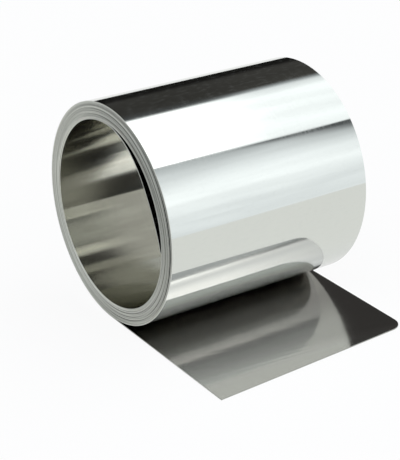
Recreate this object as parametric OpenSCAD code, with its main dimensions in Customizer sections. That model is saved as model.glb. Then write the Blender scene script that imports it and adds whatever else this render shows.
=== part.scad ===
// Roll of bright aluminium strip lying on its side, with its free end laid out flat.
// The strip comes round the back of the roll, runs under it and lies along the floor in front.
// X runs along the roll's axis, -Y is the side of the free end, and Z is up.
// Origin: on the floor, midway along X and midway between the roll's back and the free end.

/* [Strip] */
// Width of the strip, which is the length of the roll
strip_w = 100; // [20:5:200]
// Thickness of the strip
strip_t = 0.5; // [0.4:0.1:1]

/* [Roll] */
// Diameter of the bore
bore_d = 81; // [70:1:150]
// Number of turns in the wall of the roll
turns = 17; // [12:1:30]
// Width of the line between two turns on the ends of the roll
seam_w = 0.1; // [0.06:0.02:0.16]
// Depth of the line between two turns
seam_depth = 0.4; // [0.2:0.1:0.8]
// How far the turn above the free end beds into it
bedding = 0.02; // [0.01:0.01:0.04]

/* [Loose inner turn] */
// Widest gap between the innermost turn and the turns around it
gap_depth = 1.5; // [1:0.1:2.5]
// Angle that the gap takes up around the bore
gap_span = 92; // [60:1:110]
// Angle from the top of the roll, towards the free end, to the middle of the gap
gap_angle = 50; // [40:1:80]
// How far the bore is off centre, away from the gap
bore_shift = 0.6; // [0.2:0.1:0.8]

/* [Free end] */
// Length of the free end along its longer side, measured from under the roll
tail_len = 83; // [60:1:200]
// How far the cut end is out of square, in degrees
cut_skew = 3; // [0:0.5:6]
// Radius of the rounded corner on the shorter side
corner_r = 6.5; // [1:0.5:8]

/* [Hidden] */
$fn = 180;
past = 1;

// The half of the roll at the back touches the floor along its lowest line
back_r = bore_d / 2 + turns * strip_t;
// The half in front starts one thickness up, on the free end, and meets the back half at the top
front_r = back_r - (strip_t - bedding) / 2;
front_z = 2 * back_r - front_r;
// Both halves start inside the bore, which then cuts them to one round wall
rough_r = bore_d / 2 - 2 * bore_shift - strip_t;

// The loose turn lies on the bore, and the gap is the crescent between it and a smaller circle
loose_r = bore_d / 2 + strip_t;
gap_shift = (gap_depth * gap_depth + 2 * loose_r * gap_depth)
    / (2 * gap_depth + 2 * loose_r * (1 - cos(gap_span / 2)));
gap_r = loose_r + gap_depth - gap_shift;

// The lines that run clear of the gap and of the loose turn
clear_wall = back_r - loose_r - max(gap_depth - bore_shift, bore_shift) - strip_t / 2;
seams = floor(clear_wall / strip_t);

// The free end's shorter side, and the middle of the whole along Y
short_len = tail_len - strip_w * tan(cut_skew);
mid_y = (back_r - tail_len) / 2;

// Points along an arc, from one angle to another
function arc(centre, r, from, to, steps = 12) = [
    for (i = [0:steps])
        let (a = from + (to - from) * i / steps)
            centre + r * [cos(a), sin(a)]
];

// Half of the roll on the +Y side of its axis, with the lines between its turns
module half_roll(r) {
    rotate([0, 90, 0])
        rotate_extrude(angle = 180)
            difference() {
                translate([rough_r, -strip_w / 2])
                    square([r - rough_r, strip_w]);
                for (k = [1:seams], side = [-1, 1])
                    translate([r - k * strip_t, side * strip_w / 2])
                        square([seam_w, 2 * seam_depth], center = true);
            }
}

// Both halves of the roll, with the front one raised onto the free end
module turns_on_edge() {
    translate([0, 0, back_r])
        half_roll(back_r);
    translate([0, 0, front_z])
        mirror([0, 1, 0])
            half_roll(front_r);
}

// Runs a profile along the roll, drawn around the bore with +X towards the middle of the gap
module along_bore(length) {
    translate([0, 0, back_r])
        rotate([90 + gap_angle, 0, 0])
            rotate([90, 0, 90])
                linear_extrude(height = length, center = true)
                    translate([-bore_shift, 0])
                        children();
}

// Crescent between the loose innermost turn and the turns around it
module loose_gap() {
    along_bore(strip_w + 2 * past)
        difference() {
            translate([gap_shift, 0])
                circle(gap_r);
            circle(loose_r);
        }
}

// Line around the innermost turn, on both ends of the roll
module loose_seam() {
    difference() {
        along_bore(strip_w + 2 * past)
            difference() {
                circle(loose_r + seam_w / 2);
                circle(loose_r - seam_w / 2);
            }
        along_bore(strip_w - 2 * seam_depth)
            circle(loose_r + past);
    }
}

// Flat free end on the floor, with one square corner and one rounded corner
module free_end() {
    side_x = strip_w / 2;
    corner_angle = 90 + cut_skew;
    centre = [side_x - corner_r, corner_r / tan(corner_angle / 2) - short_len];
    outline = concat(
        [[side_x, 0]],
        arc(centre, corner_r, 0, cut_skew - 90),
        [[-side_x, -tail_len], [-side_x, 0]]
    );
    linear_extrude(height = strip_t)
        polygon(outline);
}

// The whole strip, wound and laid down
module strip() {
    color([0.80, 0.81, 0.81])
        translate([0, -mid_y, 0])
            difference() {
                union() {
                    turns_on_edge();
                    free_end();
                }
                along_bore(strip_w + 2 * past)
                    circle(d = bore_d);
                loose_gap();
                loose_seam();
            }
}

strip();
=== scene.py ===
"""Looks of a roll of bright aluminium strip lying on its side, with its free end laid out flat."""

import math
import random

import bpy
from mathutils import Matrix, Vector


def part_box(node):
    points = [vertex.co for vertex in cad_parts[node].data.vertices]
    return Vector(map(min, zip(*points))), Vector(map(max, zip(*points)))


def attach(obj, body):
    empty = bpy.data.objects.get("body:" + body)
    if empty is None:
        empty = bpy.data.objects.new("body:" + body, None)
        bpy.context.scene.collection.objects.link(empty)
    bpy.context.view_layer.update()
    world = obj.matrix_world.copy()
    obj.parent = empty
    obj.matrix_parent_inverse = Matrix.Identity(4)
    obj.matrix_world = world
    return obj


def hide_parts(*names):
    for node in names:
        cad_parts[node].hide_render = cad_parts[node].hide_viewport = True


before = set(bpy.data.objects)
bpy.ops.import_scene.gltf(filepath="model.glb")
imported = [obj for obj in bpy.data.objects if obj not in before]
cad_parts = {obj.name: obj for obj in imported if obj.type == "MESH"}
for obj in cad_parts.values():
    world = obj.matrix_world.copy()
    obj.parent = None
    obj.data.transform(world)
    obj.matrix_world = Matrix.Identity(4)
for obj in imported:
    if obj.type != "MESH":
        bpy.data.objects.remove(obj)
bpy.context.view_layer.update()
MM = 0.001
MICRON = 0.000001

# Sizes of the strip and its roll
low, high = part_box("strip")
HALF_W = (high.x - low.x) / 2
BACK_R = (high.z - low.z) / 2
CONTACT_Y = high.y - BACK_R
TAIL_LEN = CONTACT_Y - low.y
STRIP_T = 0.5 * MM
CUT_SKEW = math.radians(3)
CORNER_R = 6.5 * MM
BEVEL = 0.06 * MM

# How the turns lie on each other
TURNS = 17
SEGMENTS = 240
WOUND_T = 0.425 * MM
TIGHT_GAP = 0.008 * MM
LOOSE_GAP = 0.035 * MM
FRONT_GAP = 0.055 * MM
FRONT_ANGLE = math.radians(237)
STAGGER = 0.13 * MM
# Share of the first turn over which the strip thins, and angle around the line of contact
# within which the second turn lies just above the free end
THINS_OVER = 1 / 8
CONTACT_SPREAD = 0.6
# Rates of the smooth random functions per radian, and their seeds
WAVE_RATES = (0.31, 0.57, 0.73, 1.21, 1.63)
TONE_RATES = (0.23, 0.41, 0.57, 0.73, 1.21)
GAP_SEED = 5
STAGGER_SEED = 11
TONE_SEED = 23
# Gaps that open between two turns: middle and spread in turns from the outside, and width
OPEN_GAPS = (
    (1.72, 0.13, 0.12 * MM),
    (2.20, 0.08, 0.07 * MM),
    (3.67, 0.12, 0.52 * MM),
    (4.65, 0.09, 0.26 * MM),
    (4.84, 0.04, 0.09 * MM),
    (5.93, 0.06, 0.10 * MM),
    (6.38, 0.10, 0.08 * MM),
    (6.86, 0.05, 0.10 * MM),
    (8.70, 0.12, 0.20 * MM),
    (8.94, 0.07, 0.09 * MM),
    (10.9, 0.08, 0.12 * MM),
    (11.9, 0.06, 0.08 * MM),
    (12.64, 0.12, 0.18 * MM),
    (13.95, 0.07, 0.11 * MM),
    (14.70, 0.10, 0.12 * MM),
)
# The last quarter turn springs off the wall, furthest past its middle, and its end touches the
# wall again
INNER_END = math.radians(273.5)
SPRING_START = math.radians(180)
SPRING_DEPTH = 3.5 * MM
SPRING_SKEW = 1.5
# The edges of the last turns have a painted highlight at the back of the roll, and all have painted
# shade at the front
EDGE_TONE = 0.45
LIP_HIGHLIGHT_TURNS = 3.8
LIP_HIGHLIGHT_ANGLE = math.radians(70)
LIP_HIGHLIGHT_TONE = 1.9
SHADE_TONE = -1.6
SHADE_ANGLE = math.radians(246)
# The innermost edge is lighter all round, and the outermost one has a painted highlight at the
# front
BORE_TONE = 1.0
RIM_HIGHLIGHT = 3.8
RIM_HIGHLIGHT_ANGLE = math.radians(268)
# Tones over which the edge's colour turns to that of the painted highlight
HIGHLIGHT_TONES = (3.0, 6.0)
# How fast the tones of the innermost and the outermost edge set in, per radian
TONE_ONSET = 10
# Steps around the free end's rounded corner and along its side, and the angle of a sharp edge
CORNER_STEPS = 10
SIDE_STEPS = 12
SHARP_ANGLE = math.radians(25)

# Camera, found from the outlines of the roll in a frame of 400 by 460
CAMERA_AT = Vector((-0.3414, -0.47647, 0.31192))
CAMERA_YAW = 0.6005
CAMERA_PITCH = 0.441
CAMERA_ROLL = 0.0008
FOCAL_PX = 1491.7
FRAME_H_PX = 460
SENSOR_MM = 36.0

# Studio: brightness of what surrounds the strip, by the angle above the horizon
# measured from the back (0), over the top (90) and down to the front (180)
BELOW_HORIZON = ((-180, 1.14), (-165, 1.10), (-155, 1.00), (-2, 1.00))
STUDIO = (
    *BELOW_HORIZON,
    (0, 0.008),
    (15, 0.012),
    (22, 0.045),
    (50, 0.045),
    (58.5, 0.09),
    (61.5, 2.00),
    (84, 2.40),
    (91, 2.80),
    (101, 2.75),
    (106, 2.35),
    (111, 1.88),
    (115, 1.94),
    (118, 2.80),
    (120.3, 2.80),
    (121, 0.56),
    (122.5, 0.66),
    (131, 0.97),
    (140, 1.16),
    (150, 1.42),
    (158, 1.46),
    (166, 1.30),
    (180, 1.14),
)
# The same a little further round to the right, with a dark gap under a dimmer lamp
STUDIO_RIGHT = (
    *BELOW_HORIZON,
    (0, 0.008),
    (15, 0.012),
    (22, 0.05),
    (54, 0.06),
    (57, 0.36),
    (59, 0.58),
    (61, 1.05),
    (64, 1.24),
    (70, 1.44),
    (121, 1.44),
    (122, 0.10),
    (126, 0.14),
    (128, 0.18),
    (130, 0.40),
    (133, 0.76),
    (137, 0.96),
    (150, 1.30),
    (158, 1.38),
    (166, 1.24),
    (180, 1.10),
)
# The same at the sides, where the dark wall at the back gives way to a grey one
STUDIO_SIDES = (
    *BELOW_HORIZON,
    (4, 0.30),
    (50, 0.22),
    (59, 1.00),
    (70, 1.18),
    (110, 1.18),
    (121, 0.70),
    (150, 1.10),
    (180, 1.00),
)
# Sideways parts of a direction between which one set of bands fades into the next
TO_RIGHT = (0.53, 0.59)
WALL_FADES_IN = (0.28, 0.40)
WALL_FADES_OUT = (0.66, 0.78)
# The dark gap under the lamp starts further right the lower it lies: from one angle to another,
# its start moves from one sideways part to another
GAP_SLANTS = (math.radians(120.5), math.radians(128), -0.018, 0.032)
# Colour cast of the dark bands, up to this brightness, of the dim ones and of the bright ones
DARK_CAST = (1.04, 1.0, 0.96)
DARK_BELOW = 0.08
DIM_CAST = (0.94, 1.0, 1.08)
BRIGHT_CAST = (1.0, 1.0, 1.035)
# Uneven light on the studio's walls: its share of their brightness, its patches per unit sideways
# and per radian up, and the span of noise that it takes up
UNEVEN = 0.14
PATCH_RATES = (12, 5)
PATCH_SPAN = (0.25, 0.75)

# Share of the floor's look that is plain white, the rest keeps the shadow
PLAIN_WHITE = 0.9
FLOOR_COLOUR = (0.88, 0.88, 0.88)
FLOOR_SIZE = 20.0
FLOOR_DROP = 0.05 * MM
# How far the floor reaches in front, like the photo's table, whose far edge the roll mirrors
FLOOR_FRONT = 0.29

# Span that most noise fills
NOISE_SPAN = (0.2, 0.8)
# Bumps in a face: cycles per metre along and across the strip, depth in microns and seed
MIRROR_BUMPS = ((22, 16, 60, 7), (260, 4, 8, 29))
BRUSHED_BUMPS = ((60, 6, 40, 17), (420, 5, 22, 31))
# Strength of the inner face's bumps in the roll
COILED_BUMPS = 0.6

# Outer face: its two mirror colours and the colour of its painted shade by the line of contact
MIRROR_COLOURS = ((0.63, 0.652, 0.608), (0.66, 0.682, 0.633))
PAINTED_SHADE_COLOUR = (0.435, 0.44, 0.412)
# Its roughness from clear to clouded, the span of the clouds, and how its lines vary them
MIRROR_ROUGHNESS = (0.03, 0.10)
CLOUD_SPAN = (0.2, 0.9)
LINES_VARY = (0.6, 1.4)
# Its dust, and the span of noise where that comes in
DUST = 0.04
DUST_SPAN = (0.48, 0.75)
# Arc before the free end's line of contact over which it darkens into painted shade
PAINTED_SHADE_FROM = 43 * MM
PAINTED_SHADE_TO = 28 * MM
# Band of painted shade along its underside, by the arc before the line of contact, where it is made
# less metallic
SHADE_BAND_FROM = (60 * MM, 46 * MM)
SHADE_BAND_TO = (28 * MM, 20 * MM)
SHADE_BAND = 0.22

# Inner face: its two colours at the cut, its colour nearer the roll, and between which shares of
# the free end it turns from the one to the other
CUT_COLOURS = ((0.598, 0.592, 0.573), (0.638, 0.632, 0.613))
NEAR_COLOUR = (0.515, 0.505, 0.488)
NEAR_SPAN = (-0.88, -0.62)
# Its two colours in the roll, its streaks there, their spans of noise, and the length of strip
# over which they come in
COILED_COLOURS = ((0.533, 0.53, 0.485), (0.598, 0.60, 0.549))
STAIN_SPAN = (0.35, 0.65)
STREAK_COLOUR = (0.498, 0.50, 0.46)
STREAK_SHARE = 0.35
STREAK_SPAN = (0.3, 0.7)
COILS_OVER = 0.6
# Its roughness on the free end and in the roll, and what its patches add over their span
BRUSHED_ROUGHNESS = (0.08, 0.1)
ROUGHER = 0.02
ROUGHER_SPAN = (0.3, 0.8)

# Slit edge: darkest, lightest and painted-highlight colours, the span of its tones, and the shares
# of its lightness that the tones and the grain make up
SLIT_COLOURS = ((0.325, 0.335, 0.305), (0.69, 0.705, 0.65))
HIGHLIGHT_COLOUR = (0.94, 0.955, 0.93)
TONE_SPAN = (-1.4, 2.4)
TONE_SHARE = 0.85
GRAIN_SHARE = 0.15
SLIT_ROUGHNESS = (0.42, 0.62)
SCORE_DEPTH = 30 * MICRON

# How often light may bounce between the bright faces
MIRROR_BOUNCES = 16

# Material slots on the strip, and the sides of its section that have a rolled face
OUTER, INNER, EDGE = range(3)
FINISH_OF_SIDE = {0: OUTER, 4: INNER}


class Wave:
    """Smooth random function of one number, mostly between -1.5 and 1.5.

    It differs from turn to turn.
    """

    def __init__(self, seed, rates=WAVE_RATES):
        draw = random.Random(seed)
        self.parts = [(rate, draw.uniform(0, math.tau)) for rate in rates]

    def __call__(self, value):
        total = sum(math.sin(rate * value + start) for rate, start in self.parts)
        return total / math.sqrt(len(self.parts))


def gap_outside(wound, ripple):
    """Air between the strip at this wound angle and the turn around it."""
    gap = TIGHT_GAP + LOOSE_GAP * max(0.0, ripple(wound)) ** 2
    gap += FRONT_GAP * max(0.0, math.cos(wound - FRONT_ANGLE))
    for middle, spread, width in OPEN_GAPS:
        gap += width * math.exp(-(((wound / math.tau - middle) / spread) ** 2))
    # the second turn starts just above the free end
    start = math.exp(-(((wound - math.tau) / CONTACT_SPREAD) ** 2))
    return max(gap, 0.0) * (1 - start) + (STRIP_T - WOUND_T) * start


def spring_lift(wound):
    """How far the loose last quarter turn stands off the wall."""
    begin = (TURNS - 1) * math.tau + SPRING_START
    share = (wound - begin) / (INNER_END - SPRING_START)
    if share <= 0:
        return 0.0
    return SPRING_DEPTH * math.sin(math.pi * min(share, 1.0) ** SPRING_SKEW)


def first_turn(angle):
    """Outer face of the first turn: the front half stands on the free end."""
    lift = STRIP_T / 2 if angle > math.pi else 0.0
    normal = Vector((0, math.sin(angle), -math.cos(angle)))
    return Vector((0, CONTACT_Y, BACK_R + lift)) + normal * (BACK_R - lift)


def wound_path():
    """Outer face of the strip from the floor line inwards: (point, outward normal, wound angle)."""
    ripple = Wave(GAP_SEED)
    count = int(((TURNS - 1) * math.tau + INNER_END) / math.tau * SEGMENTS)
    packed = []
    path = []
    for i in range(count + 1):
        wound = i * math.tau / SEGMENTS
        normal = Vector((0, math.sin(wound), -math.cos(wound)))
        if i < SEGMENTS:
            point = first_turn(wound)
        else:
            point = packed[i - SEGMENTS] - normal * (WOUND_T + gap_outside(wound, ripple))
        packed.append(point)
        path.append((point - normal * spring_lift(wound), normal, wound))
    return path


def wound_section(point, normal, shift, thickness):
    """Eight corners of the bevelled section across the strip, outer face first."""
    inner = thickness - BEVEL
    side = HALF_W - BEVEL
    corners = (
        (-side, 0),
        (side, 0),
        (HALF_W, BEVEL),
        (HALF_W, inner),
        (side, thickness),
        (-side, thickness),
        (-HALF_W, inner),
        (-HALF_W, BEVEL),
    )
    return [point - normal * depth + Vector((x + shift, 0, 0)) for x, depth in corners]


def tail_outline():
    """Rows across the free end, from the cut back to the roll, and the normal of the cut.

    A row is (left point, its normal, right point, its normal).
    """
    cut_normal = Vector((math.sin(CUT_SKEW), -math.cos(CUT_SKEW), 0))
    left_normal = Vector((-1, 0, 0))
    short = TAIL_LEN - 2 * HALF_W * math.tan(CUT_SKEW)
    reach = CORNER_R / math.tan((math.pi / 2 + CUT_SKEW) / 2)
    centre = Vector((HALF_W - CORNER_R, CONTACT_Y - short + reach, 0))
    right = []
    for i in range(CORNER_STEPS + 1):
        angle = (CUT_SKEW - math.pi / 2) * (1 - i / CORNER_STEPS)
        normal = Vector((math.cos(angle), math.sin(angle), 0))
        right.append((centre + normal * CORNER_R, normal))
    arc_top = right[-1][0].y
    for i in range(1, SIDE_STEPS):
        y = arc_top + (CONTACT_Y - arc_top) * i / SIDE_STEPS
        right.append((Vector((HALF_W, y, 0)), Vector((1, 0, 0))))
    rows = []
    for i, (point, normal) in enumerate(right):
        y = CONTACT_Y - TAIL_LEN * (1 - i / len(right))
        rows.append((Vector((-HALF_W, y, 0)), left_normal, point, normal))
    return rows, cut_normal


def tail_sections():
    """Sections across the free end, from its cut edge to just before the roll."""
    rows, cut_normal = tail_outline()
    sections = []
    for i, (left, left_normal, right, right_normal) in enumerate(rows):
        left_in = left - left_normal * BEVEL
        if i == 0:
            left_in -= cut_normal * BEVEL
        right_in = right - right_normal * BEVEL
        heights = (0, 0, BEVEL, STRIP_T - BEVEL, STRIP_T, STRIP_T, STRIP_T - BEVEL, BEVEL)
        places = (left_in, right_in, right, right, right_in, left_in, left, left)
        sections.append([place + Vector((0, 0, z)) for place, z in zip(places, heights)])
    return sections


def clamp(value):
    """The value, kept between 0 and 1."""
    return min(max(value, 0.0), 1.0)


def edge_tone(wound):
    """How light the slit edge is at this wound angle, with painted highlights and painted shade,
    apart from its chance variation.
    """
    end = (TURNS - 1) * math.tau + INNER_END
    inward = clamp(wound / math.tau - TURNS + 1 + LIP_HIGHLIGHT_TURNS)
    # Painted highlight on the last turns' edges at the back, and painted shade on all edges at the
    # front
    tone = EDGE_TONE + LIP_HIGHLIGHT_TONE * inward * max(0.0, math.cos(wound - LIP_HIGHLIGHT_ANGLE)) ** 0.5
    tone += SHADE_TONE * max(0.0, math.cos(wound - SHADE_ANGLE)) ** 2
    tone += BORE_TONE * clamp((wound - end + math.tau) * TONE_ONSET)
    # Painted highlight on the outermost edge where it faces the front
    rim_highlight = RIM_HIGHLIGHT * max(0.0, math.cos(wound - RIM_HIGHLIGHT_ANGLE))
    return tone + rim_highlight * clamp((math.tau - wound) * TONE_ONSET)


def strip_sections():
    """Sections along the whole strip, with the length at each and the tone of its slit edges."""
    sections = tail_sections()
    count = len(sections)
    lengths = [-TAIL_LEN * (1 - i / count) for i in range(count)]
    tones = [0.0] * count
    path = wound_path()
    stagger = Wave(STAGGER_SEED)
    tone = Wave(TONE_SEED, TONE_RATES)
    run = 0.0
    for i, (point, normal, wound) in enumerate(path):
        if i:
            run += (point - path[i - 1][0]).length
        shift = STAGGER * stagger(wound) * min(1.0, i / SEGMENTS)
        thinned = min(1.0, i / (SEGMENTS * THINS_OVER))
        thickness = STRIP_T + (WOUND_T - STRIP_T) * thinned
        sections.append(wound_section(point, normal, shift, thickness))
        lengths.append(run)
        tones.append(tone(wound) + edge_tone(wound))
    return sections, lengths, tones


def closed_skin(sections):
    """Faces along the sections and over both ends, with the finish of each, and where each is."""
    corners = len(sections[0])
    faces = []
    finishes = []
    places = []
    for i in range(len(sections) - 1):
        for k in range(corners):
            a = i * corners + k
            b = i * corners + (k + 1) % corners
            faces.append((a, b, b + corners, a + corners))
            finishes.append(FINISH_OF_SIDE.get(k, EDGE))
            places.append((i, k))
    last = (len(sections) - 1) * corners
    faces.append(tuple(reversed(range(corners))))
    faces.append(tuple(last + k for k in range(corners)))
    finishes += [EDGE, EDGE]
    return faces, finishes, places


def add_uv(mesh, places, section, lengths):
    """UV map of the lengths along the strip, and across it around this section."""
    across = [0.0]
    for a, b in zip(section, section[1:] + section[:1]):
        across.append(across[-1] + (b - a).length)
    uv = mesh.uv_layers.new(name="UVMap")
    for face, (i, k) in zip(mesh.polygons, places):
        along = (lengths[i], lengths[i], lengths[i + 1], lengths[i + 1])
        over = (across[k], across[k + 1], across[k + 1], across[k])
        for loop, u, v in zip(face.loop_indices, along, over):
            uv.data[loop].uv = (u, v)


def build_strip():
    """The whole strip as one closed skin, with its UV map, edge tones and finishes."""
    sections, lengths, tones = strip_sections()
    faces, finishes, places = closed_skin(sections)
    mesh = bpy.data.meshes.new("wound_strip")
    mesh.from_pydata([corner for section in sections for corner in section], [], faces)
    mesh.validate()
    add_uv(mesh, places, sections[-1], lengths)
    shade = mesh.attributes.new("turn_tone", "FLOAT", "POINT")
    corners = len(sections[0])
    for i, tone in enumerate(tones):
        for k in range(corners):
            shade.data[i * corners + k].value = tone
    mesh.polygons.foreach_set("material_index", finishes)
    mesh.shade_smooth()
    mesh.set_sharp_from_angle(angle=SHARP_ANGLE)
    strip = bpy.data.objects.new("wound_strip", mesh)
    bpy.context.scene.collection.objects.link(strip)
    return strip


class Nodes:
    """Short calls that build a node tree."""

    def __init__(self, tree):
        self.tree = tree
        tree.nodes.clear()

    def add(self, kind, inputs=None, **settings):
        """A shader node with its settings, and its inputs as values or as links."""
        node = self.tree.nodes.new("ShaderNode" + kind)
        for name, value in settings.items():
            setattr(node, name, value)
        for name, value in (inputs or {}).items():
            if isinstance(value, bpy.types.NodeSocket):
                self.tree.links.new(value, node.inputs[name])
            else:
                node.inputs[name].default_value = value
        return node

    def maths(self, operation, a, b=0.0):
        """Result of one operation on two values or outputs."""
        return self.add("Math", {0: a, 1: b}, operation=operation).outputs[0]

    def fade(self, value, start, end, low=0.0, high=1.0):
        """Smooth change from low to high as the value goes from start to end."""
        inputs = {
            "Value": value,
            "From Min": start,
            "From Max": end,
            "To Min": low,
            "To Max": high,
        }
        return self.add("MapRange", inputs, interpolation_type="SMOOTHSTEP").outputs["Result"]

    def streaks(self, along, across, detail=2.0, seed=0.0):
        """Noise from 0 to 1 over the strip, with its cycles per metre along and across it."""
        place = self.add("TexCoord").outputs["UV"]
        inputs = {"Vector": place, "Location": (seed, seed, 0), "Scale": (along, across, 1)}
        place = self.add("Mapping", inputs).outputs[0]
        return self.noise(place, detail)

    def noise(self, place, detail):
        """Noise from 0 to 1 at this place."""
        inputs = {"Vector": place, "Scale": 1.0, "Detail": detail}
        return self.add("TexNoise", inputs).outputs["Fac"]

    def along_strip(self):
        """Length along the strip, from the line of contact."""
        place = self.add("TexCoord").outputs["UV"]
        return self.add("SeparateXYZ", {0: place}).outputs[0]

    def relief(self, fields, strength=1.0):
        """Normal with bumps from fields of noise, each as in MIRROR_BUMPS."""
        normal = None
        for along, across, depth, seed in fields:
            height = self.streaks(along, across, detail=1, seed=seed)
            inputs = {"Height": height, "Distance": depth * MICRON, "Strength": strength}
            if normal:
                inputs["Normal"] = normal
            normal = self.add("Bump", inputs).outputs[0]
        return normal

    def blend(self, share, first, second):
        """Colour between two colours, each a value or an output."""
        mix = self.add("Mix", {"Factor": share}, data_type="RGBA")
        for socket, colour in zip((mix.inputs[6], mix.inputs[7]), (first, second)):
            if isinstance(colour, bpy.types.NodeSocket):
                self.tree.links.new(colour, socket)
            else:
                socket.default_value = (*colour, 1)
        return mix.outputs[2]


def new_material(name):
    """A node material, and its nodes."""
    material = bpy.data.materials.new(name)
    material.use_nodes = True
    return material, Nodes(material.node_tree)


def outer_face():
    """Outer rolled face: a mirror with faint rolling lines, haze in clouds, dust and a wave, and
    painted shade on its underside by the line of contact.
    """
    material, nodes = new_material("outer_face")
    lines = nodes.streaks(along=6, across=900, detail=3)
    clouds = nodes.streaks(along=35, across=30, detail=3, seed=3)
    bright = nodes.blend(clouds, *MIRROR_COLOURS)
    along = nodes.along_strip()
    arc = nodes.maths("SUBTRACT", math.tau * BACK_R, along)
    # Painted shade: the colour darkens towards the line of contact, where the roll meets the free
    # end
    painted_shade = nodes.fade(arc, PAINTED_SHADE_FROM, PAINTED_SHADE_TO)
    # Painted shade: a band before the line of contact is made less metallic, which dulls its
    # reflection
    comes = nodes.fade(arc, *SHADE_BAND_FROM, low=0.0, high=SHADE_BAND)
    goes = nodes.fade(arc, *SHADE_BAND_TO, low=1.0, high=0.0)
    shade_band = nodes.maths("MULTIPLY", comes, goes)
    clouded = nodes.maths("MULTIPLY", clouds, nodes.fade(lines, *NOISE_SPAN, *LINES_VARY))
    grains = nodes.streaks(along=700, across=240, detail=4, seed=23)
    dust = nodes.fade(grains, *DUST_SPAN, low=0.0, high=DUST)
    metal = nodes.add("BsdfPrincipled", {
        "Base Color": nodes.blend(painted_shade, bright, PAINTED_SHADE_COLOUR),
        "Metallic": nodes.maths("SUBTRACT", 1.0, nodes.maths("ADD", dust, shade_band)),
        "Roughness": nodes.fade(clouded, *CLOUD_SPAN, *MIRROR_ROUGHNESS),
        "Normal": nodes.relief(MIRROR_BUMPS),
    })
    nodes.add("OutputMaterial", {"Surface": metal.outputs[0]})
    return material


def inner_face():
    """Inner rolled face: brushed along the strip, which draws reflections out across it."""
    material, nodes = new_material("inner_face")
    lines = nodes.streaks(along=5, across=700, detail=3, seed=11)
    patches = nodes.streaks(along=40, across=25, detail=3, seed=13)
    along = nodes.along_strip()
    coiled = nodes.fade(along, 0.0, COILS_OVER)
    near = nodes.fade(along, *(share * TAIL_LEN for share in NEAR_SPAN))
    flat = nodes.blend(near, nodes.blend(lines, *CUT_COLOURS), NEAR_COLOUR)
    stains = nodes.streaks(along=150, across=35, detail=3, seed=37)
    wound = nodes.blend(nodes.fade(stains, *STAIN_SPAN), *COILED_COLOURS)
    streaked = nodes.fade(lines, *STREAK_SPAN, low=0.0, high=STREAK_SHARE)
    wound = nodes.blend(streaked, wound, STREAK_COLOUR)
    rougher = nodes.fade(patches, *ROUGHER_SPAN, low=0.0, high=ROUGHER)
    rough = nodes.maths("ADD", nodes.fade(coiled, 0, 1, *BRUSHED_ROUGHNESS), rougher)
    strength = nodes.fade(coiled, 0, 1, low=1.0, high=COILED_BUMPS)
    tangent = nodes.add("Tangent", direction_type="UV_MAP", uv_map="UVMap")
    metal = nodes.add("BsdfPrincipled", {
        "Base Color": nodes.blend(coiled, flat, wound),
        "Metallic": 1.0,
        "Roughness": rough,
        "Anisotropic": 0.9,
        "Anisotropic Rotation": 0.25,
        "Tangent": tangent.outputs[0],
        "Normal": nodes.relief(BRUSHED_BUMPS, strength),
    })
    nodes.add("OutputMaterial", {"Surface": metal.outputs[0]})
    return material


def slit_edge():
    """Matt edge left by slitting the strip to width, a little different from turn to turn, with
    painted highlights and painted shade.
    """
    material, nodes = new_material("slit_edge")
    # The turns' tones hold chance variation and also painted highlights and painted shade
    tone = nodes.add("Attribute", attribute_name="turn_tone").outputs["Fac"]
    grain = nodes.streaks(along=160, across=4000, detail=4, seed=19)
    toned = nodes.fade(tone, *TONE_SPAN, low=0.0, high=TONE_SHARE)
    grained = nodes.fade(grain, *NOISE_SPAN, low=0.0, high=GRAIN_SHARE)
    cut = nodes.blend(nodes.maths("ADD", toned, grained), *SLIT_COLOURS)
    score = nodes.add("Bump", {"Height": grain, "Distance": SCORE_DEPTH, "Strength": 0.6})
    # Where the tone runs highest the colour turns to the painted highlight's colour
    metal = nodes.add("BsdfPrincipled", {
        "Base Color": nodes.blend(nodes.fade(tone, *HIGHLIGHT_TONES), cut, HIGHLIGHT_COLOUR),
        "Metallic": 1.0,
        "Roughness": nodes.fade(grain, *NOISE_SPAN, *SLIT_ROUGHNESS),
        "Normal": score.outputs[0],
    })
    nodes.add("OutputMaterial", {"Surface": metal.outputs[0]})
    return material


def add_camera():
    """Camera at the photograph's place, turned by yaw, pitch and roll."""
    data = bpy.data.cameras.new("camera")
    data.sensor_width = SENSOR_MM
    data.lens = FOCAL_PX / FRAME_H_PX * SENSOR_MM
    data.clip_start = 0.01
    data.clip_end = 50
    camera = bpy.data.objects.new("camera", data)
    bpy.context.scene.collection.objects.link(camera)
    ahead = Vector(
        (
            math.sin(CAMERA_YAW) * math.cos(CAMERA_PITCH),
            math.cos(CAMERA_YAW) * math.cos(CAMERA_PITCH),
            -math.sin(CAMERA_PITCH),
        )
    )
    level = Vector((math.cos(CAMERA_YAW), -math.sin(CAMERA_YAW), 0))
    upright = level.cross(ahead)
    right = level * math.cos(CAMERA_ROLL) + upright * math.sin(CAMERA_ROLL)
    up = upright * math.cos(CAMERA_ROLL) - level * math.sin(CAMERA_ROLL)
    turn = Matrix((right, up, -ahead)).transposed()
    camera.matrix_world = Matrix.Translation(CAMERA_AT) @ turn.to_4x4()
    bpy.context.scene.camera = camera


def band_ramp(nodes, turn, stops, brightest):
    """Colour ramp of the studio's bands, as shares of the brightest one, with their colour cast."""
    ramp = nodes.add("ValToRGB", {0: turn})
    elements = ramp.color_ramp.elements
    while len(elements) < len(stops):
        elements.new(1.0)
    for element, (degrees, value) in zip(elements, stops):
        share = value / brightest
        cast = Vector(DARK_CAST)
        if value > DARK_BELOW:
            cast = Vector(DIM_CAST).lerp(Vector(BRIGHT_CAST), share)
        element.position = (degrees + 180) / 360
        element.color = (*(cast * share), 1)
    return ramp.outputs["Color"]


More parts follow.
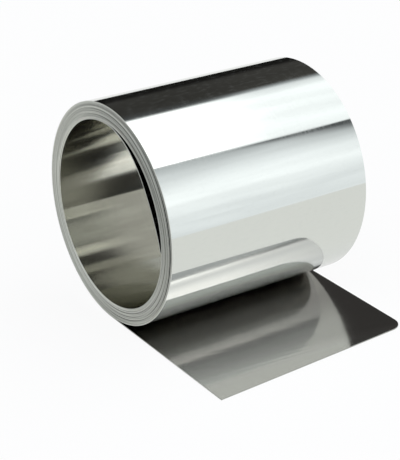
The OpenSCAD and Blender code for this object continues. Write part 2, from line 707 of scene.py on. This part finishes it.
def studio_world():
    """Surroundings in long bands that run along the roll."""
    world = bpy.data.worlds.new("studio")
    bpy.context.scene.world = world
    world.use_nodes = True
    nodes = Nodes(world.node_tree)
    split = nodes.add("SeparateXYZ", {0: nodes.add("TexCoord").outputs["Generated"]})
    side, back, up = split.outputs
    angle = nodes.maths("ARCTAN2", up, back)
    turn = nodes.add("MapRange", {"Value": angle, "From Min": -math.pi, "From Max": math.pi})
    turn = turn.outputs["Result"]
    brightest = max(value for _, value in STUDIO)
    middle, right, sides = (
        band_ramp(nodes, turn, stops, brightest) for stops in (STUDIO, STUDIO_RIGHT, STUDIO_SIDES)
    )
    slanted = nodes.maths("SUBTRACT", side, nodes.fade(angle, *GAP_SLANTS))
    behind = nodes.blend(nodes.fade(slanted, *TO_RIGHT), middle, right)
    comes = nodes.fade(side, *WALL_FADES_IN)
    goes = nodes.fade(side, *WALL_FADES_OUT, low=1.0, high=0.0)
    colour = nodes.blend(nodes.maths("MULTIPLY", comes, goes), sides, behind)
    scaled = [nodes.maths("MULTIPLY", *pair) for pair in zip((side, angle), PATCH_RATES)]
    place = nodes.add("CombineXYZ", {0: scaled[0], 1: scaled[1]}).outputs[0]
    least, most = (brightest * (1 + sign * UNEVEN / 2) for sign in (-1, 1))
    strength = nodes.fade(nodes.noise(place, detail=2.0), *PATCH_SPAN, least, most)
    light = nodes.add("Background", {"Color": colour, "Strength": strength})
    nodes.add("OutputWorld", {"Surface": light.outputs[0]})


def studio_floor():
    """Plain floor just under the strip, white to the eye and to mirrors, with a faint shadow."""
    front, back = -FLOOR_FRONT, FLOOR_SIZE
    outline = ((-FLOOR_SIZE, front), (FLOOR_SIZE, front), (FLOOR_SIZE, back), (-FLOOR_SIZE, back))
    corners = [(x, y, -FLOOR_DROP) for x, y in outline]
    mesh = bpy.data.meshes.new("floor")
    mesh.from_pydata(corners, [], [(0, 1, 2, 3)])
    floor = bpy.data.objects.new("floor", mesh)
    bpy.context.scene.collection.objects.link(floor)
    material, nodes = new_material("floor_white")
    lit = nodes.add("BsdfDiffuse", {"Color": (*FLOOR_COLOUR, 1)})
    plain = nodes.add("Emission", {"Color": (1, 1, 1, 1), "Strength": 1.0})
    path = nodes.add("LightPath").outputs
    seen = nodes.maths("MAXIMUM", path["Is Camera Ray"], path["Is Glossy Ray"])
    seen = nodes.maths("MAXIMUM", seen, path["Is Transmission Ray"])
    share = nodes.maths("MULTIPLY", seen, PLAIN_WHITE)
    mix = nodes.add("MixShader", {0: share, 1: lit.outputs[0], 2: plain.outputs[0]})
    nodes.add("OutputMaterial", {"Surface": mix.outputs[0]})
    mesh.materials.append(material)


strip = build_strip()
for finish in (outer_face(), inner_face(), slit_edge()):
    strip.data.materials.append(finish)
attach(strip, "root")
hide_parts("strip")
studio_floor()
studio_world()
add_camera()
bpy.context.scene.view_settings.view_transform = "Standard"
bpy.context.scene.cycles.glossy_bounces = MIRROR_BOUNCES
bpy.context.scene.cycles.max_bounces = MIRROR_BOUNCES
bpy.context.scene.cycles.blur_glossy = 0.0
